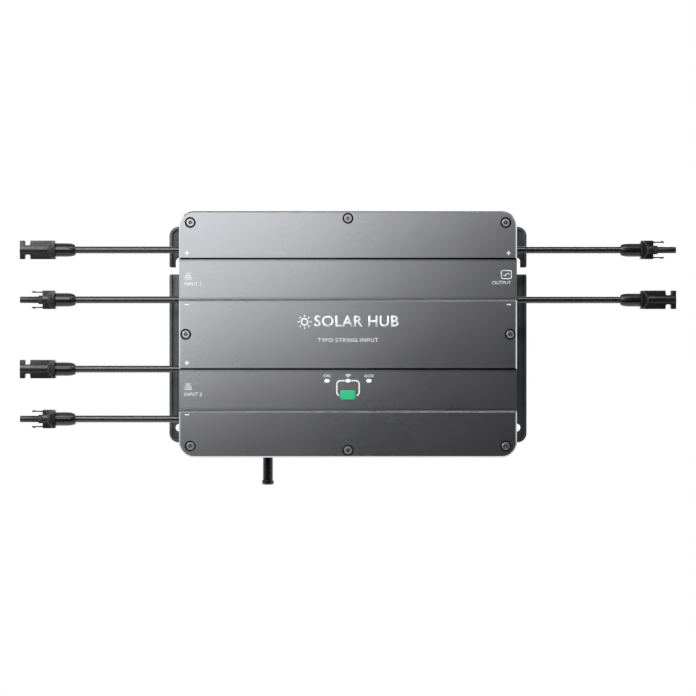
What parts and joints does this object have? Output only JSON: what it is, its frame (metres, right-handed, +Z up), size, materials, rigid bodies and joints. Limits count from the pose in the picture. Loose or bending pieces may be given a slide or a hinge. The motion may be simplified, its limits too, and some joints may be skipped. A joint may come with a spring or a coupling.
{
  "type": "solar power hub for a micro inverter",
  "caption": "Flat wall-hung metal solar box with side brackets, sealed cover, green power button, status lamps, stub antenna and stiff flying leads with latching connectors.",
  "frame": {"origin": "on the wall plane, behind the middle of the front cover", "axes": "+X to the right seen from the front, +Z up, +Y into the wall; the front face looks along -Y"},
  "size_m": [0.6626, 0.064, 0.275],
  "materials": {
    "cover_aluminium": "satin, bead blasted and clear anodised",
    "housing_paint": "satin dark grey powder coat",
    "bracket_paint": "satin dark grey powder coat",
    "screw_steel": "stainless",
    "seal_rubber": "soft silicone rubber",
    "thermal_silicone": "soft grey-blue pad",
    "board_laminate": "solder-masked laminate",
    "radio_shield": "tinned shield can on a laminate",
    "ferrite": "ground ferrite",
    "copper_wire": "enamelled copper",
    "capacitor_sleeve": "shrunk sleeve",
    "chip_epoxy": "moulded epoxy",
    "contact_brass": "tinned brass",
    "lead_jacket": "smooth black sheath",
    "fuse_body": "ceramic",
    "lamp_lens": "milky clear",
    "button_green": "satin moulded",
    "gland_nylon": "moulded nylon",
    "antenna_gloss": "glossy",
    "connector_plastic": "moulded, fine grain"
  },
  "bodies": {
    "case": {"front_cover": "cover_aluminium", "rear_housing": "housing_paint", "mount_bracket_left": "bracket_paint", "mount_bracket_right": "bracket_paint", "cover_screws": "screw_steel", "bracket_screws": "screw_steel", "board_screws": "screw_steel", "earth_screw": "screw_steel", "cover_screw_washers": "seal_rubber", "cover_gasket": "seal_rubber", "button_seal": "seal_rubber", "gland_seals": "seal_rubber", "antenna_seal": "seal_rubber", "nose_seals": "seal_rubber", "thermal_pads": "thermal_silicone", "main_board": "board_laminate", "indicator_board": "board_laminate", "wifi_module": "radio_shield", "inductor_cores": "ferrite", "inductor_windings": "copper_wire", "capacitors": "capacitor_sleeve", "power_transistors": "chip_epoxy", "terminal_posts": "contact_brass", "contacts": "contact_brass", "core_wires": "lead_jacket", "input_fuses": "fuse_body", "antenna_coax": "lead_jacket", "lamp_lenses": "lamp_lens", "gland_bodies": "gland_nylon", "gland_domes": "gland_nylon", "gland_locknuts": "gland_nylon", "antenna_base": "contact_brass", "antenna_rod": "antenna_gloss", "antenna_cap": "antenna_gloss", "pressure_vent": "gland_nylon", "lead_pv1_plus": "lead_jacket", "nut_pv1_plus": "connector_plastic", "socket_pv1_plus": "connector_plastic", "lead_pv1_minus": "lead_jacket", "nut_pv1_minus": "connector_plastic", "plug_pv1_minus": "connector_plastic", "lead_pv2_plus": "lead_jacket", "nut_pv2_plus": "connector_plastic", "socket_pv2_plus": "connector_plastic", "lead_pv2_minus": "lead_jacket", "nut_pv2_minus": "connector_plastic", "plug_pv2_minus": "connector_plastic", "lead_out_plus": "lead_jacket", "nut_out_plus": "connector_plastic", "plug_out_plus": "connector_plastic", "lead_out_minus": "lead_jacket", "nut_out_minus": "connector_plastic", "socket_out_minus": "connector_plastic"},
    "button": {"power_button": "button_green"},
    "latch_pv1_minus_top": {"latch_pv1_minus_top": "connector_plastic"},
    "latch_pv1_minus_bottom": {"latch_pv1_minus_bottom": "connector_plastic"},
    "latch_pv2_minus_top": {"latch_pv2_minus_top": "connector_plastic"},
    "latch_pv2_minus_bottom": {"latch_pv2_minus_bottom": "connector_plastic"},
    "latch_out_plus_top": {"latch_out_plus_top": "connector_plastic"},
    "latch_out_plus_bottom": {"latch_out_plus_bottom": "connector_plastic"}
  },
  "joints": [
    {"name": "power_button_press", "type": "slide", "parent": "case", "child": "button", "axis": [0, 1, 0], "range_m": [0, 0.001], "stiffness_N_per_m": 2000},
    {"name": "latch_pv1_minus_top_flex", "type": "hinge", "parent": "case", "child": "latch_pv1_minus_top", "pos_m": [-0.3094, -0.032, 0.0427], "axis": [0, -1, 0], "range_deg": [0, 10], "stiffness_Nm_per_rad": 0.6},
    {"name": "latch_pv1_minus_bottom_flex", "type": "hinge", "parent": "case", "child": "latch_pv1_minus_bottom", "pos_m": [-0.3094, -0.032, 0.0273], "axis": [0, 1, 0], "range_deg": [0, 10], "stiffness_Nm_per_rad": 0.6},
    {"name": "latch_pv2_minus_top_flex", "type": "hinge", "parent": "case", "child": "latch_pv2_minus_top", "pos_m": [-0.3094, -0.032, -0.0777], "axis": [0, -1, 0], "range_deg": [0, 10], "stiffness_Nm_per_rad": 0.6},
    {"name": "latch_pv2_minus_bottom_flex", "type": "hinge", "parent": "case", "child": "latch_pv2_minus_bottom", "pos_m": [-0.3094, -0.032, -0.0931], "axis": [0, 1, 0], "range_deg": [0, 10], "stiffness_Nm_per_rad": 0.6},
    {"name": "latch_out_plus_top_flex", "type": "hinge", "parent": "case", "child": "latch_out_plus_top", "pos_m": [0.3094, -0.032, 0.0931], "axis": [0, 1, 0], "range_deg": [0, 10], "stiffness_Nm_per_rad": 0.6},
    {"name": "latch_out_plus_bottom_flex", "type": "hinge", "parent": "case", "child": "latch_out_plus_bottom", "pos_m": [0.3094, -0.032, 0.0777], "axis": [0, -1, 0], "range_deg": [0, 10], "stiffness_Nm_per_rad": 0.6}
  ]
}
